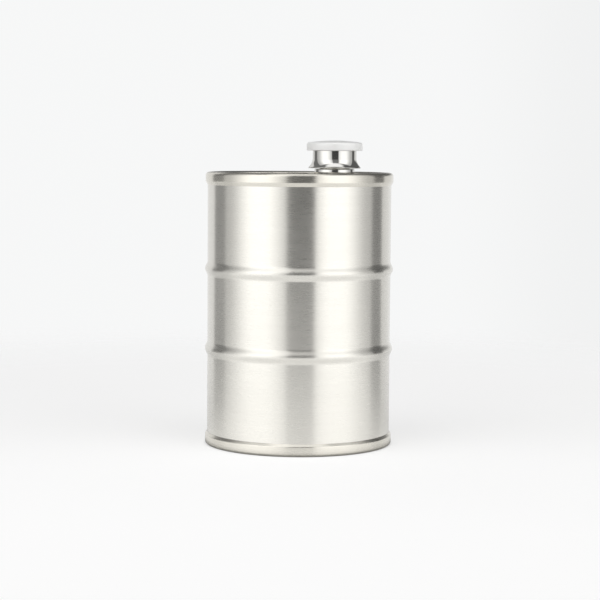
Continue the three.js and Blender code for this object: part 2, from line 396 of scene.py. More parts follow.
        shift = pad.add("ShaderNodeCombineXYZ", {0: given["Axis X"], 2: given["Start Height"]}).outputs[0]
        turn = pad.add("ShaderNodeCombineXYZ", {2: given["Start Angle"]}).outputs[0]
        placed = pad.add("GeometryNodeTransform", {0: flat.outputs[0], "Translation": shift})
        pad.feed(placed.inputs["Rotation"], turn)
        joined = pad.add("GeometryNodeJoinGeometry", {0: given["Piece"]})
        pad.feed(joined.inputs[0], placed.outputs[0])
        self._end(pad, joined.outputs[0], given["Material"])
        return tree

    @staticmethod
    def _end(pad: NodePad, geometry: Socket, material: Socket) -> None:
        """Ends a tree in real geometry with its material.

        Args:
            pad: The tree.
            geometry: What the tree has made.
            material: The tree's input for the material.
        """
        real = pad.add("GeometryNodeRealizeInstances", {0: geometry})
        coated = pad.add("GeometryNodeSetMaterial", {0: real.outputs[0], "Material": material})
        pad.add("NodeGroupOutput", {0: coated.outputs[0]})

    @staticmethod
    def _fit(piece: bpy.types.Object, tree: bpy.types.NodeTree, values: dict[str, Any]) -> None:
        """Puts a tree on a piece, with its inputs set by their identifiers.

        Args:
            piece: The piece.
            tree: The tree.
            values: What each input is set to, by the input's name.
        """
        modifier = piece.modifiers.new(tree.name, "NODES")
        modifier.node_group = tree
        for item in tree.interface.items_tree:
            if item.item_type == "SOCKET" and item.in_out == "INPUT" and item.name in values:
                modifier[item.identifier] = values[item.name]

    def turn(
        self,
        name: str,
        profile: Profile,
        material: bpy.types.Material,
        axis_x: float = 0.0,
        thread: dict[str, Any] | None = None,
        hole: Point | None = None,
    ) -> bpy.types.Object:
        """Makes a piece by turning a profile.

        Args:
            name: The piece's name.
            profile: Its section, in mm.
            material: Its finish.
            axis_x: Where its upright axis stands along X, in metres.
            thread: The thread tree's sizes, in metres, where the piece has a thread.
            hole: Radius of a round hole in place of its middle and the hole's distance along X, in mm.

        Returns:
            The piece, as a plain mesh at the origin.
        """
        rings = [(radius, 0.0, height) for radius, height in profile]
        if hole:
            edges = [(*hole, profile[-1][1]), (*hole, profile[0][1])]
            rings = [*rings[1:-1], *edges, rings[1]]
        points = [tuple(value * MM for value in place) for place in rings]
        mesh = bpy.data.meshes.new(f"{name}_profile")
        mesh.from_pydata(points, [(i, i + 1) for i in range(len(points) - 1)], [])
        piece = bpy.data.objects.new(name, mesh)
        bpy.context.scene.collection.objects.link(piece)
        shared = {"Axis X": axis_x, "Material": material}
        segments = THREADED_SEGMENTS if thread else SEGMENTS
        self._fit(piece, self.turning, {**shared, "Segments": segments})
        if thread:
            self._fit(piece, self.threading, {**shared, **thread})
        graph = bpy.context.evaluated_depsgraph_get()
        solid = bpy.data.meshes.new_from_object(piece.evaluated_get(graph), depsgraph=graph)
        piece.modifiers.clear()
        piece.data = solid
        solid.name = name
        bpy.data.meshes.remove(mesh)
        return piece


# Finishes


class GrainGroups:
    """Shader groups that several finishes share.

    Attributes:
        line_levels: Share of the given number of lines, and detail, for the fine lines and the broad ones.
        grain_range: Values of the fine lines from low to high.
        band_range: Values of the broad lines from low to high.
        smudge_detail: Detail of the smudges.
        smudge_range: Values of their noise where a smudge begins and where it is full.
        haze_detail: Detail of the haze.
        haze_fineness: How many times finer the haze is than the smudges.
        haze_range: Values of the haze from low to high.
    """

    line_levels: tuple[Point, ...] = ((1.0, 3.0), (0.09, 2.0))
    grain_range: Point = (0.3, 0.7)
    band_range: Point = (0.35, 0.65)
    smudge_detail = 4.0
    smudge_range: Point = (0.42, 0.68)
    haze_detail = 2.0
    haze_fineness = 9.0
    haze_range: Point = (0.3, 0.7)

    def __init__(self) -> None:
        """Builds the groups."""
        self.turned_grain = self._turned_grain()
        self.handling_marks = self._handling_marks()

    def _turned_grain(self) -> bpy.types.NodeTree:
        """Builds the group for fine lines that run round an upright axis.

        Returns:
            The group. Grain is the fine lines and Bands the broad ones, both from 0 to 1.
        """
        tree = new_tree(
            "turned_grain",
            "ShaderNodeTree",
            {"Vector": "NodeSocketVector", "Lines": "NodeSocketFloat", "Breaks": "NodeSocketFloat"},
            {"Grain": "NodeSocketFloat", "Bands": "NodeSocketFloat"},
        )
        pad = NodePad(tree)
        given = pad.add("NodeGroupInput").outputs
        place = pad.add("ShaderNodeSeparateXYZ", {0: given["Vector"]}).outputs
        flat = pad.add("ShaderNodeCombineXYZ", {0: place[0], 1: place[1]}).outputs[0]
        radius = pad.add("ShaderNodeVectorMath", {0: flat}, operation="LENGTH").outputs["Value"]
        heading = pad.add("ShaderNodeVectorMath", {0: flat}, operation="NORMALIZE").outputs[0]
        facing = pad.add("ShaderNodeSeparateXYZ", {0: heading}).outputs
        levels = []
        for share, detail in self.line_levels:
            lines = pad.math("MULTIPLY", given["Lines"], share)
            breaks = pad.math("MULTIPLY", given["Breaks"], share)
            spot = pad.add(
                "ShaderNodeCombineXYZ",
                {
                    0: pad.math("MULTIPLY", facing[0], breaks),
                    1: pad.math("MULTIPLY", facing[1], breaks),
                    2: pad.math("MULTIPLY", place[2], lines),
                },
            ).outputs[0]
            noise = pad.add("ShaderNodeTexNoise", noise_dimensions="4D")
            pad.feed(noise.inputs["Vector"], spot)
            pad.feed(noise.inputs["W"], pad.math("MULTIPLY", radius, lines))
            pad.feed(noise.inputs["Scale"], 1.0)
            pad.feed(noise.inputs["Detail"], detail)
            levels.append(noise.outputs[0])
        pad.add("NodeGroupOutput", dict(enumerate(levels)))
        return tree

    def _handling_marks(self) -> bpy.types.NodeTree:
        """Builds the group for the faint marks that hands leave.

        Returns:
            The group. Smudge is broad and Haze fine, both from 0 to 1.
        """
        tree = new_tree(
            "handling_marks",
            "ShaderNodeTree",
            {"Vector": "NodeSocketVector", "Size": "NodeSocketFloat"},
            {"Smudge": "NodeSocketFloat", "Haze": "NodeSocketFloat"},
        )
        pad = NodePad(tree)
        given = pad.add("NodeGroupInput").outputs
        scale = pad.math("DIVIDE", 1.0, given["Size"])
        broad = pad.add("ShaderNodeTexNoise", {"Vector": given["Vector"], "Scale": scale})
        pad.feed(broad.inputs["Detail"], self.smudge_detail)
        fine = pad.add("ShaderNodeTexNoise", {"Vector": given["Vector"], "Detail": self.haze_detail})
        pad.feed(fine.inputs["Scale"], pad.math("MULTIPLY", scale, self.haze_fineness))
        smudge = pad.remap(broad.outputs[0], self.smudge_range, smooth=True)
        pad.add("NodeGroupOutput", {0: smudge, 1: fine.outputs[0]})
        return tree


@dataclass(frozen=True)
class TurnedMetal:
    """A metal finish with fine lines round the axis of the piece.

    Attributes:
        name: The material's name.
        colour: Reflected colour.
        roughness: Mean roughness.
        metallic: Share of the surface that reflects as bare metal.
        anisotropy: How much further reflections spread across the lines than along them.
        line_heading: Turn that lays that spread across the lines, as a share of a whole turn.
        lines: Fine lines for each metre across them.
        breaks: How often a line breaks off round the axis.
        grain_spread: How far the lines move the roughness.
        grain_depth: Height of the lines, in metres.
        band_shade: Share of the colour that is left in the broad lines.
        smudge_spread: How far handling marks move the roughness.
        smudge_size: Size of the handling marks, in metres.
    """

    name: str
    colour: Colour
    roughness: float
    metallic: float = 1.0
    anisotropy: float = 0.0
    line_heading: float = 0.25
    lines: float = 5200.0
    breaks: float = 7.0
    grain_spread: float = 0.06
    grain_depth: float = 1e-6
    band_shade: float = 0.98
    smudge_spread: float = 0.02
    smudge_size: float = 0.03

    def material(self, groups: GrainGroups, axis_x: float = 0.0) -> bpy.types.Material:
        """Makes the material.

        Args:
            groups: The shared shader groups.
            axis_x: Where the piece's axis stands along X, in metres.

        Returns:
            The material.
        """
        made, pad = new_material(self.name)
        place = pad.add("ShaderNodeTexCoord").outputs["Object"]
        centred = pad.add("ShaderNodeMapping", {"Vector": place, "Location": (-axis_x, 0.0, 0.0)}).outputs[0]
        grain = pad.add("ShaderNodeGroup", node_tree=groups.turned_grain)
        pad.feed(grain.inputs["Vector"], centred)
        pad.feed(grain.inputs["Lines"], self.lines)
        pad.feed(grain.inputs["Breaks"], self.breaks)
        marks = pad.add("ShaderNodeGroup", node_tree=groups.handling_marks)
        pad.feed(marks.inputs["Vector"], centred)
        pad.feed(marks.inputs["Size"], self.smudge_size)
        spread = (-self.grain_spread / 2, self.grain_spread / 2)
        lined = pad.remap(grain.outputs["Grain"], groups.grain_range, spread)
        smudged = pad.math("MULTIPLY", marks.outputs["Smudge"], self.smudge_spread)
        bands = pad.remap(grain.outputs["Bands"], groups.band_range)
        bump = pad.add("ShaderNodeBump", {"Strength": 1.0, "Distance": self.grain_depth})
        pad.feed(bump.inputs["Height"], grain.outputs["Grain"])
        shader = pad.add("ShaderNodeBsdfPrincipled", {"Metallic": self.metallic})
        pad.feed(shader.inputs["Base Color"], pad.darkened(bands, self.colour, self.band_shade))
        pad.feed(shader.inputs["Roughness"], pad.math("ADD", pad.math("ADD", self.roughness, lined), smudged))
        pad.feed(shader.inputs["Normal"], bump.outputs[0])
        pad.feed(shader.inputs["Anisotropic"], self.anisotropy)
        pad.feed(shader.inputs["Anisotropic Rotation"], self.line_heading)
        pad.add("ShaderNodeOutputMaterial", {0: shader.outputs[0]})
        return made


@dataclass(frozen=True)
class MouldedPolymer:
    """A plain moulded finish with a fine matte texture.

    Attributes:
        name: The material's name.
        colour: Surface colour.
        roughness: Mean roughness.
        subsurface: Share of light that wanders under the surface.
        subsurface_scale: How far it wanders, in metres.
        haze_spread: How far the texture moves the roughness, up and down.
        haze_strength: Strength of the texture's relief.
        haze_depth: Height of that relief, in metres.
        smudge_shade: Share of the colour that is left in handling marks.
        smudge_size: Size of the handling marks, in metres.
    """

    name: str
    colour: Colour
    roughness: float
    subsurface: float = 0.05
    subsurface_scale: float = 0.001
    haze_spread: float = 0.06
    haze_strength: float = 0.6
    haze_depth: float = 8e-6
    smudge_shade: float = 0.95
    smudge_size: float = 0.004

    def material(self, groups: GrainGroups) -> bpy.types.Material:
        """Makes the material.

        Args:
            groups: The shared shader groups.

        Returns:
            The material.
        """
        made, pad = new_material(self.name)
        place = pad.add("ShaderNodeTexCoord").outputs["Object"]
        marks = pad.add("ShaderNodeGroup", node_tree=groups.handling_marks)
        pad.feed(marks.inputs["Vector"], place)
        pad.feed(marks.inputs["Size"], self.smudge_size)
        spread = (self.roughness - self.haze_spread, self.roughness + self.haze_spread)
        bump = pad.add("ShaderNodeBump", {"Strength": self.haze_strength, "Distance": self.haze_depth})
        pad.feed(bump.inputs["Height"], marks.outputs["Haze"])
        shader = pad.add("ShaderNodeBsdfPrincipled", {"Subsurface Weight": self.subsurface})
        pad.feed(shader.inputs["Subsurface Scale"], self.subsurface_scale)
        shade = pad.darkened(marks.outputs["Smudge"], self.colour, self.smudge_shade)
        pad.feed(shader.inputs["Base Color"], shade)
        pad.feed(shader.inputs["Roughness"], pad.remap(marks.outputs["Haze"], groups.haze_range, spread))
        pad.feed(shader.inputs["Normal"], bump.outputs[0])
        pad.add("ShaderNodeOutputMaterial", {0: shader.outputs[0]})
        return made


SATIN_STEEL = TurnedMetal(
    "satin_steel",
    colour=(0.775, 0.758, 0.707, 1.0),
    roughness=0.28,
    anisotropy=0.9,
    grain_depth=4e-7,
)
BRIGHT_STEEL = TurnedMetal(
    "bright_steel",
    colour=(0.755, 0.729, 0.66, 1.0),
    roughness=0.25,
    anisotropy=0.9,
    grain_depth=4e-7,
)
MIRROR_CHROME = TurnedMetal(
    "mirror_chrome",
    colour=(0.71, 0.702, 0.675, 1.0),
    roughness=0.05,
    grain_spread=0.02,
    grain_depth=2e-8,
    smudge_spread=0.03,
)
SATIN_CROWN = TurnedMetal(
    "satin_crown",
    colour=(0.97, 0.97, 0.96, 1.0),
    roughness=0.5,
    metallic=0.15,
    grain_spread=0.08,
)
LINER_PLASTIC = MouldedPolymer("liner_plastic", colour=(0.8, 0.78, 0.72, 1.0), roughness=0.5)
SEAL_SILICONE = MouldedPolymer(
    "seal_silicone",
    colour=(0.72, 0.74, 0.74, 1.0),
    roughness=0.6,
    subsurface=0.2,
)


# Sub-assemblies


def dress(piece: bpy.types.Object, node: str, body: Body) -> None:
    """Puts a finished piece in the place of its node.

    Args:
        piece: The finished piece.
        node: The node that it stands for.
        body: The body that it rides on.
    """
    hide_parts(node)
    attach(piece, body.value)
    LOG.info("%s: %d faces on %s", piece.name, len(piece.data.polygons), body.value)


@dataclass
class Barrel:
    """The steel drum: a hooped shell, two pressed heads and the chimes that close them together.

    Attributes:
        height: Height of the drum. This and all other lengths are in mm.
        shell_radius: Outer radius of the shell between its hoops.
        shell_wall: Thickness of the shell.
        hoop_rise: How far a hoop stands out.
        hoop_width: Height of a hoop.
        hoop_setback: Distance from the middle of a hoop to the nearer end of the drum.
        hoop_steps: Number of chords in a hoop's swell.
        head_wall: Thickness of the heads.
        head_bend: Outer radius of the bend between a head's plate and its flange.
        plate_recess: Depth of a head's plate below the end of the drum.
        dome_rise: How far the middle of the base is pressed up.
        dome_flat: Width of the flat ring round that dome.
        dome_steps: Number of chords in the dome.
        chime_wall: Thickness of the chimes.
        top_round: Radius of the top chime's outer edge.
        bottom_round: Radius of the bottom chime's outer edge.
        chime_inner_round: Radius of a chime's inner edge.
        crown_fall: How far the top chime's crown falls towards the deck.
        top_leg: Height of the top chime's outer leg.
        top_hem: Height of the slope at the foot of that leg.
        bottom_leg: Height of the bottom chime's outer leg.
        bottom_hem: Height of the slope at the end of that leg.
        hem_round: Length of the round between a leg and its slope, along each of them.
        hem_clearance: Distance from the slope's end to the shell.
        neck_hole: Radius of the hole for the neck.
        neck_offset: Distance from the drum's axis to that hole's middle.
        fit_gap: Clearance between pieces.
    """

    height: float = 130.6
    shell_radius: float = 44.0
    shell_wall: float = 0.7
    hoop_rise: float = 1.2
    hoop_width: float = 7.4
    hoop_setback: float = 46.2
    hoop_steps: int = 28
    head_wall: float = 0.7
    head_bend: float = 2.0
    plate_recess: float = 4.6
    dome_rise: float = 1.6
    dome_flat: float = 7.0
    dome_steps: int = 24
    chime_wall: float = 0.7
    top_round: float = 1.7
    bottom_round: float = 1.2
    chime_inner_round: float = 0.4
    crown_fall: float = 0.6
    top_leg: float = 6.2
    top_hem: float = 1.8
    bottom_leg: float = 5.95
    bottom_hem: float = 1.25
    hem_round: float = 0.25
    hem_clearance: float = 0.05
    neck_hole: float = 7.5
    neck_offset: float = 16.7
    fit_gap: float = 0.3

    def __post_init__(self) -> None:
        """Works out the places that follow from the sizes."""
        self.shell_inset = self.chime_wall + self.fit_gap + self.crown_fall
        self.flange_radius = self.shell_radius - self.shell_wall - self.fit_gap
        self.plate_radius = self.flange_radius - self.head_bend
        self.plate_top = self.height - self.plate_recess
        self.bend_height = self.plate_top - self.head_wall + self.head_bend
        self.chime_radius = self.shell_radius + self.fit_gap + self.chime_wall
        self.chime_inner_leg = self.flange_radius - self.head_wall - self.fit_gap
        self.chime_inner = self.chime_inner_leg - self.chime_wall

    def shell_profile(self) -> Profile:
        """Draws the shell, with each hoop as one smooth swell of the wall.

        Returns:
            The shell's section.
        """
        outside: Profile = [(self.shell_radius, self.shell_inset)]
        for middle in (self.hoop_setback, self.height - self.hoop_setback):
            for i in range(self.hoop_steps + 1):
                share = 2 * i / self.hoop_steps - 1
                swell = self.hoop_rise * math.cos(share * math.pi / 2) ** 2
                outside.append((self.shell_radius + swell, middle + share * self.hoop_width / 2))
        outside.append((self.shell_radius, self.height - self.shell_inset))
        inside = [(radius - self.shell_wall, z) for radius, z in reversed(outside)]
        return ring([*outside, *inside])

    def chime_profile(self, leg: float, hem: float, rounding: float, fall: float = 0.0) -> Profile:
        """Draws a chime on top of the drum: an inverted channel, hemmed in to the shell.

        Args:
            leg: Height of its outer leg, in mm.
            hem: Height of the slope at the leg's foot, in mm.
            rounding: Radius of its outer edge, in mm.
            fall: How far its crown falls towards the deck, in mm.

        Returns:
            The chime's section.
        """
        crown, inner = self.height, self.chime_inner_round
        leg_foot = self.bend_height + self.fit_gap
        tip = (self.shell_radius + self.hem_clearance, crown - leg)
        corner = (self.chime_radius, crown - leg + hem)
        share = self.hem_round / math.dist(tip, corner)
        before = tuple(c + share * (t - c) for t, c in zip(tip, corner))
        turn = steered(before, corner, (corner[0], corner[1] + self.hem_round), EDGE_STEPS)
        return ring(
            [
                (self.chime_inner, leg_foot),
                (self.chime_inner_leg, leg_foot),
                (self.chime_inner_leg, crown - fall - self.chime_wall),
                (self.chime_radius - self.chime_wall, crown - self.chime_wall),
                tip,
                *turn,
                *rounded((self.chime_radius - rounding, crown - rounding), rounding, 0, 90),
                *rounded((self.chime_inner + inner, crown - fall - inner), inner, 90, 180),
            ]
        )

    def pan_rim(self) -> Profile:
        """Draws the bend and the flange of the top head.

        Returns:
            Its outline, from the underside of the plate round to the plate's upper face.
        """
        flange_top = self.height - self.shell_inset
        middle = (self.plate_radius, self.bend_height)
        return [
            *rounded(middle, self.head_bend, -90, 0),
            (self.flange_radius, flange_top),
            (self.flange_radius - self.head_wall, flange_top),
            *rounded(middle, self.head_bend - self.head_wall, 0, -90),
        ]

    def top_head_profile(self) -> Profile:
        """The section of the top head."""
        return [(0.0, self.plate_top - self.head_wall), *self.pan_rim(), (0.0, self.plate_top)]

    def base_head_profile(self) -> Profile:
        """Draws the base head, whose middle is pressed up into the drum.

        Returns:
            The base head's section.
        """
        dome_radius = self.plate_radius - self.dome_flat
        dome: Profile = []
        for i in range(self.dome_steps + 1):
            share = i / self.dome_steps
            fall = self.dome_rise * math.cos(share * math.pi / 2) ** 2
            dome.append((dome_radius * share, self.plate_top - fall))
        under = [(radius, z - self.head_wall) for radius, z in dome]
        return upside_down([*under, *self.pan_rim(), *reversed(dome)], self.height)

    def build(self, lathe: TurningLathe, groups: GrainGroups) -> None:
        """Turns, finishes and places every piece.

        Args:
            lathe: The lathe.
            groups: The shared shader groups.
        """
        satin = SATIN_STEEL.material(groups)
        bright = BRIGHT_STEEL.material(groups)
        hole = (self.neck_hole, self.neck_offset)
        top_chime = self.chime_profile(self.top_leg, self.top_hem, self.top_round, self.crown_fall)
        bottom_chime = self.chime_profile(self.bottom_leg, self.bottom_hem, self.bottom_round)
        pieces = (
            ("barrel_shell", self.shell_profile(), satin, Slot.SATIN_STEEL, None),
            ("top_head", self.top_head_profile(), satin, Slot.SATIN_STEEL, hole),
            ("base_head", self.base_head_profile(), satin, Slot.SATIN_STEEL, None),
            ("top_chime", top_chime, bright, Slot.BRIGHT_STEEL, None),
            ("bottom_chime", upside_down(bottom_chime, self.height), bright, Slot.BRIGHT_STEEL, None),
        )
        for node, profile, material, slot, opening in pieces:
            piece = lathe.turn(f"{node}_finished", profile, material, hole=opening)
            dress(piece, node, Body.FLASK)


@dataclass
class Thread:
    """The right-hand thread of the neck and of the cap's liner.

    Attributes:
        pitch: Rise of the helix in one turn. This and all other lengths are in mm.
        height: How far a ridge stands off its wall.
        slope: How much wider half a ridge gets for each millimetre towards its root.
        bury: How far a ridge reaches into its wall.
        gap: Clearance between the flanks of two meshing ridges.
        end_margin: Distance from a ridge to the end of its wall's thread.
        run_in: Part of a turn in which a ridge swells to its full size.
        steps_per_turn: Number of chords in a turn.
    """

    pitch: float = 2.0
    height: float = 0.8
    slope: float = 0.4
    bury: float = 0.4
    gap: float = 0.3
    end_margin: float = 0.2
    run_in: float = 0.125
    steps_per_turn: int = 96

    def __post_init__(self) -> None:
        """Works out the ridge's widths, which leave the gap between two meshing ridges."""
        self.crest_half = (self.pitch / 2 - self.gap - (self.height - self.gap) * self.slope) / 2
        self.root_half = self.crest_half + self.height * self.slope

    def ridge(self, wall_radius: float, outward: int, datum: float, ends: Point) -> dict[str, Any]:
        """The sizes of a ridge for the thread tree.

        Args:
            wall_radius: Radius of the wall that carries it, in mm.
            outward: 1 on a spout, -1 in a bore.
            datum: Height where the helix passes the +X direction, in mm.
            ends: Heights where the wall's thread begins and ends, in mm.

        Returns:
            The tree's inputs, in metres and radians.
        """
        margin = self.root_half + self.end_margin
        start, stop = ends[0] + margin, ends[1] - margin
        return {
            "Root Radius": (wall_radius - outward * self.bury) * MM,
            "Crest Reach": outward * (self.height + self.bury) * MM,
            "Root Half": (self.root_half + self.bury * self.slope) * MM,
            "Crest Half": self.crest_half * MM,
            "Start Height": start * MM,
            "Start Angle": 2 * math.pi * (start - datum) / self.pitch,
            "Turns": (stop - start) / self.pitch,
            "Pitch": self.pitch * MM,
            "Run In": self.run_in,
            "Steps": self.steps_per_turn,
        }


@dataclass
class Spout:
    """The threaded neck on the deck and the collar round it.

    Attributes:
        barrel: The drum that it stands on.
        wall: Thickness of the neck's tube. This and all other lengths are in mm, heights from the foot.
        mouth: Height of the neck's mouth.
        mouth_round: Radius of the mouth's edges.
        flange_width: How far the flange under the deck stands out from the tube.
        flange_thickness: Thickness of that flange.
        collar_wall: Thickness of the collar at its bead.
        collar_top: Height of the collar's upper end.
        bead_half: Half the height of the bead's ellipse.
        bead_rise: How far the bead stands out.
        bead_setback: Distance from the bead's middle to the collar's upper end.
        bead_steps: Number of chords in the bead.
        thread_foot: Height where the neck's thread begins.
        thread: The thread that the cap's liner shares.
    """

    barrel: Barrel
    wall: float = 1.0
    mouth: float = 139.6
    mouth_round: float = 0.3
    flange_width: float = 1.9
    flange_thickness: float = 0.8
    collar_wall: float = 2.2
    collar_top: float = 132.3
    bead_half: float = 2.2
    bead_rise: float = 0.4
    bead_setback: float = 1.6
    bead_steps: int = 20
    thread_foot: float = 133.4
    thread: Thread = field(default_factory=Thread)

    def __post_init__(self) -> None:
        """Works out the places that follow from the sizes."""
        self.fit_gap = self.barrel.fit_gap
        self.offset = self.barrel.neck_offset
        self.radius = self.barrel.neck_hole - self.fit_gap
        self.bore = self.radius - self.wall

    def tube_profile(self) -> Profile:
        """Draws the neck's tube, with its flange under the deck.

        Returns:
            The tube's section.
        """
        rounding = self.mouth_round
        flange_top = self.barrel.plate_top - self.barrel.head_wall - self.fit_gap
        flange_radius = self.radius + self.flange_width
        foot = flange_top - self.flange_thickness
        lip = self.mouth - rounding
        return ring(
            [
                (self.bore, foot),
                (flange_radius, foot),
                (flange_radius, flange_top),
                (self.radius, flange_top),
                *rounded((self.radius - rounding, lip), rounding, 0, 90, EDGE_STEPS),
                *rounded((self.bore + rounding, lip), rounding, 90, 180, EDGE_STEPS),
            ]
        )

    def collar_profile(self) -> Profile:
        """Draws the collar, with a shallow bead round its upper end.

        Returns:
            The collar's section.
        """
        bore, foot = self.radius + self.fit_gap, self.barrel.plate_top
        side = bore + self.collar_wall - self.bead_rise
        middle = (side, self.collar_top - self.bead_setback)
        stop = math.degrees(math.asin(self.bead_setback / self.bead_half))
        bead = arc(middle, (self.bead_rise, self.bead_half), -90, stop, self.bead_steps)
        return ring([(bore, foot), (side, foot), *bead, (bore, self.collar_top)])

    def build(self, lathe: TurningLathe, groups: GrainGroups) -> None:
        """Turns, threads, finishes and places both pieces.

        Args:
            lathe: The lathe.
            groups: The shared shader groups.
        """
        axis = self.offset * MM
        ends = (self.thread_foot, self.mouth - self.mouth_round)
        ridge = self.thread.ridge(self.radius, 1, self.mouth, ends)
        steel = BRIGHT_STEEL.material(groups, axis)
        chrome = MIRROR_CHROME.material(groups, axis)
        pieces = (
            ("neck_tube", self.tube_profile(), steel, Slot.BRIGHT_STEEL, ridge),
            ("neck_collar", self.collar_profile(), chrome, Slot.MIRROR_CHROME, None),
        )
        for node, profile, material, slot, thread in pieces:
            piece = lathe.turn(f"{node}_finished", profile, material, axis, thread)
            dress(piece, node, Body.FLASK)


@dataclass
class ScrewCap:
    """The cap: a flared skirt with a crown, a threaded liner and a sealing disc.

    Attributes:
        spout: The neck that it screws on to.
        skirt_radius: Outer radius of the skirt. This and all other lengths are in mm.
        skirt_wall: Thickness of the skirt.
        skirt_height: Height of the skirt.
        lip: Height of the skirt's lower edge.
        lip_round: Radius of that edge.
        flare_height: Height of the flare above the lip.
        flare_spread: How far the flare spreads.
        flare_belly: How far out from the skirt's side the point lies that steers the flare.
        flare_belly_height: How high above the lip that point lies.
        crown_overhang: How far the crown stands out from the skirt.
        crown_edge: Height of the crown's edge.
        crown_round: Radius of the crown's upper edge.
        crown_turn: Angle through which that edge turns before the dome takes over, in degrees.
        crown_foot_round: Radius of the crown's lower edge.
        crown_dome: Height of the crown's dome.
        crown_socket: Depth of the socket that takes the skirt.
        dome_steps: Number of chords in the dome.
        liner_wall: Thickness of the liner's side.
        liner_head: Thickness of the liner's head.
        liner_setback: Distance from the liner's foot to the skirt's.
        seal_thickness: Thickness of the sealing disc.
        seal_round: Radius of the disc's edges.
    """

    spout: Spout
    skirt_radius: float = 10.55
    skirt_wall: float = 0.7
    skirt_height: float = 10.8
    lip: float = 0.4
    lip_round: float = 0.3
    flare_height: float = 4.0
    flare_spread: float = 2.0
    flare_belly: float = 0.3
    flare_belly_height: float = 1.7
    crown_overhang: float = 2.85
    crown_edge: float = 3.9
    crown_round: float = 1.2
    crown_turn: float = 80.0
    crown_foot_round: float = 0.3
    crown_dome: float = 0.9
    crown_socket: float = 2.7
    dome_steps: int = 24
    liner_wall: float = 1.25
    liner_head: float = 1.0
    liner_setback: float = 0.8
    seal_thickness: float = 1.2
    seal_round: float = 0.25

    def __post_init__(self) -> None:
        """Works out the places that follow from the sizes."""
        self.fit_gap = self.spout.fit_gap
        self.base = self.spout.collar_top + self.fit_gap
        self.skirt_top = self.base + self.skirt_height
        self.skirt_bore = self.skirt_radius - self.skirt_wall
        self.liner_radius = self.skirt_bore - self.fit_gap
        self.liner_bore = self.liner_radius - self.liner_wall
        self.liner_foot = self.base + self.liner_setback
        self.seal_base = self.spout.mouth + self.fit_gap
        self.liner_ceiling = self.seal_base + self.seal_thickness + self.fit_gap

    def skirt_profile(self) -> Profile:
        """Draws the bell-shaped skirt.

        Returns:
            The skirt's section.
        """
        base, rounding = self.base, self.lip_round
        lip_radius = self.skirt_radius + self.flare_spread
        flare_top = base + self.lip + self.flare_height
        ceiling = self.skirt_top - self.skirt_wall
        inner = steered(
            (self.skirt_bore, flare_top - self.skirt_wall),
            (self.skirt_bore + self.flare_belly, base + self.flare_belly_height),
            (lip_radius - self.skirt_wall, base),
        )
        outer = steered(
            (lip_radius, base + self.lip),
            (self.skirt_radius + self.flare_belly, base + self.lip + self.flare_belly_height),
            (self.skirt_radius, flare_top),
        )
        return [
            (0.0, ceiling),
            (self.skirt_bore, ceiling),
            *inner,
            *rounded((lip_radius - rounding, base + rounding), rounding, -90, 0),
            *outer,
            (self.skirt_radius, self.skirt_top),
            (0.0, self.skirt_top),
        ]

    def crown_profile(self) -> Profile:
        """Draws the domed crown, with the socket that takes the skirt.

        Returns:
            The crown's section.
        """
        ceiling = self.skirt_top + self.fit_gap
        under = ceiling - self.crown_socket
        edge_top = under + self.crown_edge
        socket = self.skirt_radius + self.fit_gap
        rounding, foot = self.crown_round, self.crown_foot_round
        edge = self.skirt_radius + self.crown_overhang
        side = edge - rounding
        top = edge_top + self.crown_dome
        dome = steered((side, edge_top), (side / 2, top), (0.0, top), self.dome_steps)
        return [
            (0.0, ceiling),
            (socket, ceiling),
            (socket, under),
            *rounded((edge - foot, under + foot), foot, -90, 0),
            *rounded((side, edge_top - rounding), rounding, 0, self.crown_turn),
            *dome[1:],
        ]

    def liner_profile(self) -> Profile:
        """Draws the liner's cup.

        Returns:
            The liner's section.
        """
        top = self.liner_ceiling + self.liner_head
        return [
            (0.0, self.liner_ceiling),
            (self.liner_bore, self.liner_ceiling),
            (self.liner_bore, self.liner_foot),
            (self.liner_radius, self.liner_foot),
            (self.liner_radius, top),
            (0.0, top),
        ]

    def seal_profile(self) -> Profile:
        """Draws the sealing disc, with rounded edges.

        Returns:
            The disc's section.
        """
        base, top = self.seal_base, self.seal_base + self.seal_thickness
        rounding = self.seal_round
        side = self.liner_bore - self.fit_gap - rounding
        return [
            (0.0, base),
            *rounded((side, base + rounding), rounding, -90, 0, EDGE_STEPS),
            *rounded((side, top - rounding), rounding, 0, 90, EDGE_STEPS),
            (0.0, top),
        ]

    def build(self, lathe: TurningLathe, groups: GrainGroups) -> None:
        """Turns, threads, finishes and places every piece.

        Args:
            lathe: The lathe.
            groups: The shared shader groups.
        """
        axis = self.spout.offset * MM
        thread = self.spout.thread
        # Half a pitch of rise puts the liner's ridge between the turns of the neck's.
        datum = self.spout.mouth + thread.pitch / 2
        ridge = thread.ridge(self.liner_bore, -1, datum, (self.liner_foot, self.seal_base))
        chrome = MIRROR_CHROME.material(groups, axis)
        satin = SATIN_CROWN.material(groups, axis)
        silicone = SEAL_SILICONE.material(groups)
        plastic = LINER_PLASTIC.material(groups)
        pieces = (
            ("cap_skirt", self.skirt_profile(), chrome, Body.CAP, Slot.MIRROR_CHROME, None),
            ("cap_crown", self.crown_profile(), satin, Body.CAP, Slot.SATIN_CROWN, None),
            ("cap_seal", self.seal_profile(), silicone, Body.SEAL, Slot.SEAL_SILICONE, None),
            ("cap_liner", self.liner_profile(), plastic, Body.CAP, Slot.LINER_PLASTIC, ridge),
        )
        for node, profile, material, body, slot, winding in pieces:
            piece = lathe.turn(f"{node}_finished", profile, material, axis, winding)
            dress(piece, node, body)


# Studio


def in_radians(span: Point) -> Point:
    """Both ends of a span of degrees, in radians."""
    return math.radians(span[0]), math.radians(span[1])


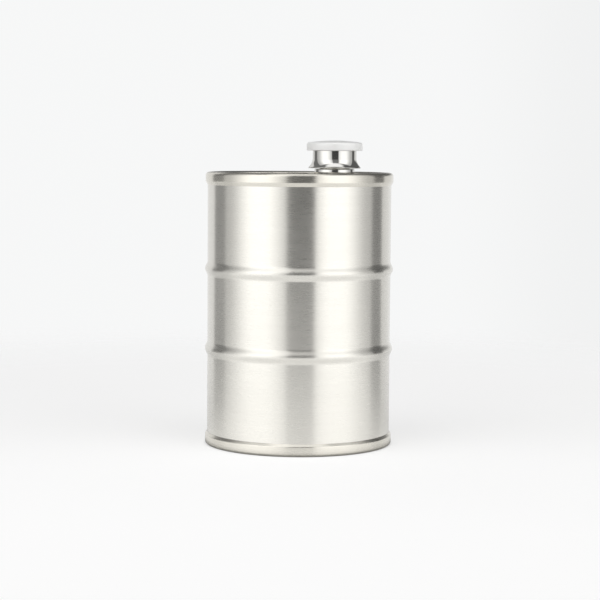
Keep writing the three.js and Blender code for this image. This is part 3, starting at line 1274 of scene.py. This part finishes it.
@dataclass(frozen=True)
class Softbox:
    """A tall soft light round the flask. Angles in degrees, azimuths from the camera towards +X.

    Attributes:
        start: Azimuth where it begins.
        stop: Azimuth where it ends.
        base: Brightness all over.
        hot: Further brightness at its hot spot.
        centre: Azimuth of the hot spot.
        core: Half the width of the hot spot at its full brightness.
        reach: Half the width where the hot spot has faded out.
        top: Height of its upper edge above the horizon.
    """

    start: float
    stop: float
    base: float
    hot: float
    centre: float
    core: float = 8.0
    reach: float = 47.0
    top: float = 58.0


@dataclass
class Studio:
    """The pale floor, the soft light round it and the camera at the photograph's place.

    Attributes:
        floor_radius: Radius of the floor. This and all other lengths are in metres.
        floor_sides: Number of sides of the floor.
        floor_colour: Colour of the floor under the light.
        seen_glow: The floor's own light as the camera sees it, far behind the flask and near the camera.
        seen_span: Where along Y those two lie.
        seen_contact: Distances from the flask's axis where that light begins and where it is full.
        seen_fade: Distances where the floor begins to fade, as the camera sees it, and where it ends.
        mirrored_glow: The floor's own light in the flask's reflections, for a steep look down and a low one.
        mirrored_facing: How far the floor faces away from those two looks, from 0 to 1.
        mirrored_back: Share of that light that is left behind the flask.
        mirrored_span: Where along Y the full light ends and where that share is reached.
        mirrored_contact: Distances from the flask's axis where that light begins and where it is full.
        mirrored_fade: Distances where the floor begins to fade, as the flask reflects it, and where it ends.
        softboxes: The soft lights. Their angles and all others are in degrees.
        box_edge: Half the width of the soft edge at their sides.
        box_lean: How far they lean towards +X for each degree above the horizon.
        top_edge: Half the height of the soft edge at their top.
        backdrop_edges: Azimuths where the sweep behind the flask begins, from the camera towards +X.
        backdrop_light: Brightness of the sweep at its right edge and straight behind the flask.
        backdrop_top: Height of the sweep's upper edge.
        shade: Brightness of the unlit room on the left, in front and on the right.
        shade_turn: Azimuths between which the shade passes from one to the next.
        shade_lift: Further brightness of the room above the camera.
        shade_span: Heights between which the room gains that brightness.
        low_lift: Further brightness of the room beside the flask, below the horizon.
        low_span: Heights where that brightness is full and where it ends.
        low_edges: Azimuths on either side between which it is seen.
        overhead: Brightness of the overhead light.
        overhead_axis: Direction of the middle of the overhead light.
        overhead_spread: Angles from that axis where the overhead light has faded out and where it is full.
        backdrop: Colour that the camera sees behind the flask.
        backdrop_fall: Share of that colour on the left and on the right.
        backdrop_span: Where along X a ray of unit length passes from one to the other.
        lens: The camera's focal length, in mm.
        sensor: Width of the camera's sensor, in mm.
        camera_place: Where the camera stands.
        camera_pitch: How far it looks down.
        camera_roll: How far it is turned about its line of sight.
    """

    floor_radius: float = 0.6
    floor_sides: int = 96
    floor_colour: Colour = (0.5, 0.5, 0.5, 1.0)
    seen_glow: Point = (0.548, 0.618)
    seen_span: Point = (0.2, -0.2)
    seen_contact: Point = (0.0415, 0.0462)
    seen_fade: Point = (0.3, 0.6)
    mirrored_glow: Point = (0.58, 0.88)
    mirrored_facing: Point = (0.2, 0.8)
    mirrored_back: float = 0.48
    mirrored_span: Point = (-0.05, 0.05)
    mirrored_contact: Point = (0.046, 0.054)
    mirrored_fade: Point = (0.2, 0.43)
    softboxes: tuple[Softbox, ...] = (
        Softbox(-105.0, -15.5, 0.43, 0.98, -52.0, top=52.0),
        Softbox(19.3, 103.0, 0.49, 0.91, 48.0, top=49.0),
        Softbox(-138.0, -131.5, 0.64, 0.0, -150.0, top=14.0),
        Softbox(-166.0, -138.0, 0.64, 0.0, -150.0, top=34.0),
    )
    box_edge: float = 2.0
    box_lean: float = 0.1
    top_edge: float = 5.0
    backdrop_edges: Point = (-166.0, 126.0)
    backdrop_light: Point = (0.65, 0.8)
    backdrop_top: float = 10.0
    shade: Triple = (0.2, 0.07, 0.13)
    shade_turn: Point = (60.0, 100.0)
    shade_lift: float = 0.16
    shade_span: Point = (5.0, 28.0)
    low_lift: float = 0.5
    low_span: Point = (-10.0, -4.0)
    low_edges: Point = (104.0, 129.0)
    overhead: float = 1.05
    overhead_axis: Triple = (0.0, -0.276, 0.961)
    overhead_spread: Point = (31.0, 18.0)
    backdrop: Colour = (0.928, 0.933, 0.933, 1.0)
    backdrop_fall: Point = (1.0, 0.95)
    backdrop_span: Point = (0.07, 0.165)
    lens: float = 108.86
    sensor: float = 36.0
    camera_place: Triple = (0.0006, -0.872, 0.1424)
    camera_pitch: float = 4.807
    camera_roll: float = 0.4

    @staticmethod
    def rise(pad: NodePad, angle: Socket, degrees: float, edge: float) -> Socket:
        """A soft step from 0 to 1 where an angle in radians passes a number of degrees."""
        return pad.remap(angle, in_radians((degrees - edge, degrees + edge)), smooth=True)

    def softbox(self, pad: NodePad, box: Softbox, azimuth: Socket, height: Socket) -> Socket:
        """Makes the nodes of one softbox.

        Args:
            pad: The world's node tree.
            box: The softbox.
            azimuth: Azimuth of a ray, in radians.
            height: Height of a ray above the horizon, in radians.

        Returns:
            Its brightness along the ray.
        """
        begun = self.rise(pad, azimuth, box.start, self.box_edge)
        ended = self.rise(pad, azimuth, box.stop, self.box_edge)
        over = self.rise(pad, height, box.top, self.top_edge)
        inside = pad.math("MULTIPLY", pad.math("SUBTRACT", begun, ended), pad.math("SUBTRACT", 1.0, over))
        off_centre = pad.math("ABSOLUTE", pad.math("SUBTRACT", azimuth, math.radians(box.centre)))
        span = in_radians((box.core, box.reach))
        level = pad.remap(off_centre, span, (box.base + box.hot, box.base), smooth=True)
        return pad.math("MULTIPLY", inside, level)

    def sweep(self, pad: NodePad, azimuth: Socket, height: Socket) -> Socket:
        """Makes the nodes of the pale sweep behind the flask.

        Args:
            pad: The world's node tree.
            azimuth: Azimuth of a ray, in radians.
            height: Height of a ray above the horizon, in radians.

        Returns:
            Its brightness along the ray.
        """
        left, right = (self.rise(pad, azimuth, edge, self.box_edge) for edge in self.backdrop_edges)
        behind = pad.math("ADD", pad.math("SUBTRACT", 1.0, left), right)
        low = pad.math("SUBTRACT", 1.0, self.rise(pad, height, self.backdrop_top, self.top_edge))
        span = (math.radians(self.backdrop_edges[1]), math.pi)
        level = pad.remap(pad.math("ABSOLUTE", azimuth), span, self.backdrop_light)
        return pad.math("MULTIPLY", pad.math("MULTIPLY", behind, low), level)

    def overhead_light(self, pad: NodePad, heading: Socket) -> Socket:
        """Makes the nodes of the overhead light.

        Args:
            pad: The world's node tree.
            heading: Direction of a ray.

        Returns:
            Its brightness along the ray.
        """
        aim = pad.add("ShaderNodeVectorMath", {0: heading, 1: self.overhead_axis}, operation="DOT_PRODUCT")
        spread = tuple(math.cos(angle) for angle in in_radians(self.overhead_spread))
        return pad.remap(aim.outputs["Value"], spread, (0.0, self.overhead), smooth=True)

    def room(self, pad: NodePad, azimuth: Socket, height: Socket) -> list[Socket]:
        """Makes the nodes of the unlit room.

        Args:
            pad: The world's node tree.
            azimuth: Azimuth of a ray, in radians.
            height: Height of a ray above the horizon, in radians.

        Returns:
            The parts of its brightness along the ray.
        """
        left, front, right = self.shade
        near, far = in_radians(self.shade_turn)
        shade = pad.remap(azimuth, (-far, -near), (left, front), smooth=True)
        further = pad.remap(azimuth, (near, far), (0.0, right - front), smooth=True)
        turned = pad.math("ABSOLUTE", azimuth)
        ahead = pad.remap(turned, (near, far), (1.0, 0.0), smooth=True)
        lift = pad.remap(height, in_radians(self.shade_span), (0.0, self.shade_lift), smooth=True)
        begun, ended = (self.rise(pad, turned, edge, self.box_edge) for edge in self.low_edges)
        beside = pad.math("SUBTRACT", begun, ended)
        low = pad.remap(height, in_radians(self.low_span), (self.low_lift, 0.0), smooth=True)
        return [shade, further, pad.math("MULTIPLY", lift, ahead), pad.math("MULTIPLY", low, beside)]

    def light(self) -> None:
        """Makes the soft light that surrounds the flask, and the backdrop that the camera sees instead."""
        world = bpy.data.worlds.new("studio_light")
        bpy.context.scene.world = world
        world.use_nodes = True
        world.node_tree.nodes.clear()
        pad = NodePad(world.node_tree)
        heading = pad.add("ShaderNodeTexCoord").outputs["Generated"]
        side = pad.add("ShaderNodeSeparateXYZ", {0: heading}).outputs
        azimuth = pad.math("ARCTAN2", side[0], pad.math("MULTIPLY", side[1], -1.0))
        height = pad.math("ARCSINE", side[2])
        raised = pad.math("MULTIPLY", pad.math("MAXIMUM", height, 0.0), self.box_lean)
        leant = pad.math("SUBTRACT", azimuth, raised)
        total, *parts = self.room(pad, azimuth, height)
        parts += [self.softbox(pad, box, leant, height) for box in self.softboxes]
        parts += [self.sweep(pad, azimuth, height), self.overhead_light(pad, heading)]
        for part in parts:
            total = pad.math("ADD", part, total)
        soft = pad.add("ShaderNodeBackground", {"Color": (1.0, 1.0, 1.0, 1.0), "Strength": total})
        fall = pad.remap(side[0], self.backdrop_span, self.backdrop_fall, smooth=True)
        plain = pad.add("ShaderNodeBackground", {"Color": self.backdrop, "Strength": fall})
        seen = pad.add("ShaderNodeLightPath").outputs["Is Camera Ray"]
        mixed = pad.add("ShaderNodeMixShader", {0: seen, 1: soft.outputs[0], 2: plain.outputs[0]})
        pad.add("ShaderNodeOutputWorld", {0: mixed.outputs[0]})
        bpy.context.scene.view_settings.view_transform = "Standard"

    def floor_finish(self) -> bpy.types.Material:
        """Makes the floor's finish, which glows, darkens at the flask's foot and fades into the backdrop.

        Returns:
            The material.
        """
        made, pad = new_material("floor")
        place = pad.add("ShaderNodeTexCoord").outputs["Object"]
        distance = pad.add("ShaderNodeVectorMath", {0: place}, operation="LENGTH").outputs["Value"]
        along = pad.add("ShaderNodeSeparateXYZ", {0: place}).outputs[1]
        direct = pad.add("ShaderNodeLightPath").outputs["Is Camera Ray"]
        nearer = pad.remap(along, self.seen_span, self.seen_glow)
        seen = pad.math("MULTIPLY", nearer, pad.remap(distance, self.seen_contact, smooth=True))
        facing = pad.add("ShaderNodeLayerWeight").outputs["Facing"]
        lower = pad.remap(facing, self.mirrored_facing, self.mirrored_glow)
        clear = pad.remap(distance, self.mirrored_contact, smooth=True)
        kept = pad.remap(along, self.mirrored_span, (1.0, self.mirrored_back), smooth=True)
        mirrored = pad.math("MULTIPLY", pad.math("MULTIPLY", lower, clear), kept)
        seen_left = pad.remap(distance, self.seen_fade, (1.0, 0.0), smooth=True)
        mirrored_left = pad.remap(distance, self.mirrored_fade, (1.0, 0.0), smooth=True)
        shader = pad.add("ShaderNodeBsdfPrincipled", {"Base Color": self.floor_colour, "Roughness": 1.0})
        pad.feed(shader.inputs["Specular IOR Level"], 0.0)
        pad.feed(shader.inputs["Emission Color"], pad.blend(direct, mirrored, seen))
        pad.feed(shader.inputs["Emission Strength"], 1.0)
        pad.feed(shader.inputs["Alpha"], pad.blend(direct, mirrored_left, seen_left))
        pad.add("ShaderNodeOutputMaterial", {0: shader.outputs[0]})
        return made

    def floor(self) -> None:
        """Lays the pale floor, a flat disc under the flask."""
        angles = [2 * math.pi * i / self.floor_sides for i in range(self.floor_sides)]
        edge = [(self.floor_radius * math.cos(a), self.floor_radius * math.sin(a), 0.0) for a in angles]
        mesh = bpy.data.meshes.new("floor")
        mesh.from_pydata(edge, [], [tuple(range(self.floor_sides))])
        floor = bpy.data.objects.new("floor", mesh)
        bpy.context.scene.collection.objects.link(floor)
        mesh.materials.append(self.floor_finish())

    def camera(self) -> None:
        """Sets up the camera."""
        data = bpy.data.cameras.new("camera")
        data.lens = self.lens
        data.sensor_width = self.sensor
        camera = bpy.data.objects.new("camera", data)
        bpy.context.scene.collection.objects.link(camera)
        level = Euler((math.radians(90 - self.camera_pitch), 0.0, 0.0)).to_matrix()
        rolled = level @ Matrix.Rotation(math.radians(self.camera_roll), 3, "Z")
        camera.matrix_world = Matrix.Translation(Vector(self.camera_place)) @ rolled.to_4x4()
        bpy.context.scene.camera = camera

    def build(self) -> None:
        """Makes the camera, the light and the floor."""
        self.camera()
        self.light()
        self.floor()


def main() -> None:
    """Builds the flask's looks and the studio round it."""
    logging.basicConfig(level=logging.INFO, format="%(name)s: %(message)s")
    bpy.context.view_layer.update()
    lathe = TurningLathe()
    groups = GrainGroups()
    barrel = Barrel()
    spout = Spout(barrel)
    cap = ScrewCap(spout)
    for assembly in (barrel, spout, cap):
        assembly.build(lathe, groups)
    Studio().build()


if __name__ == "__main__":
    main()
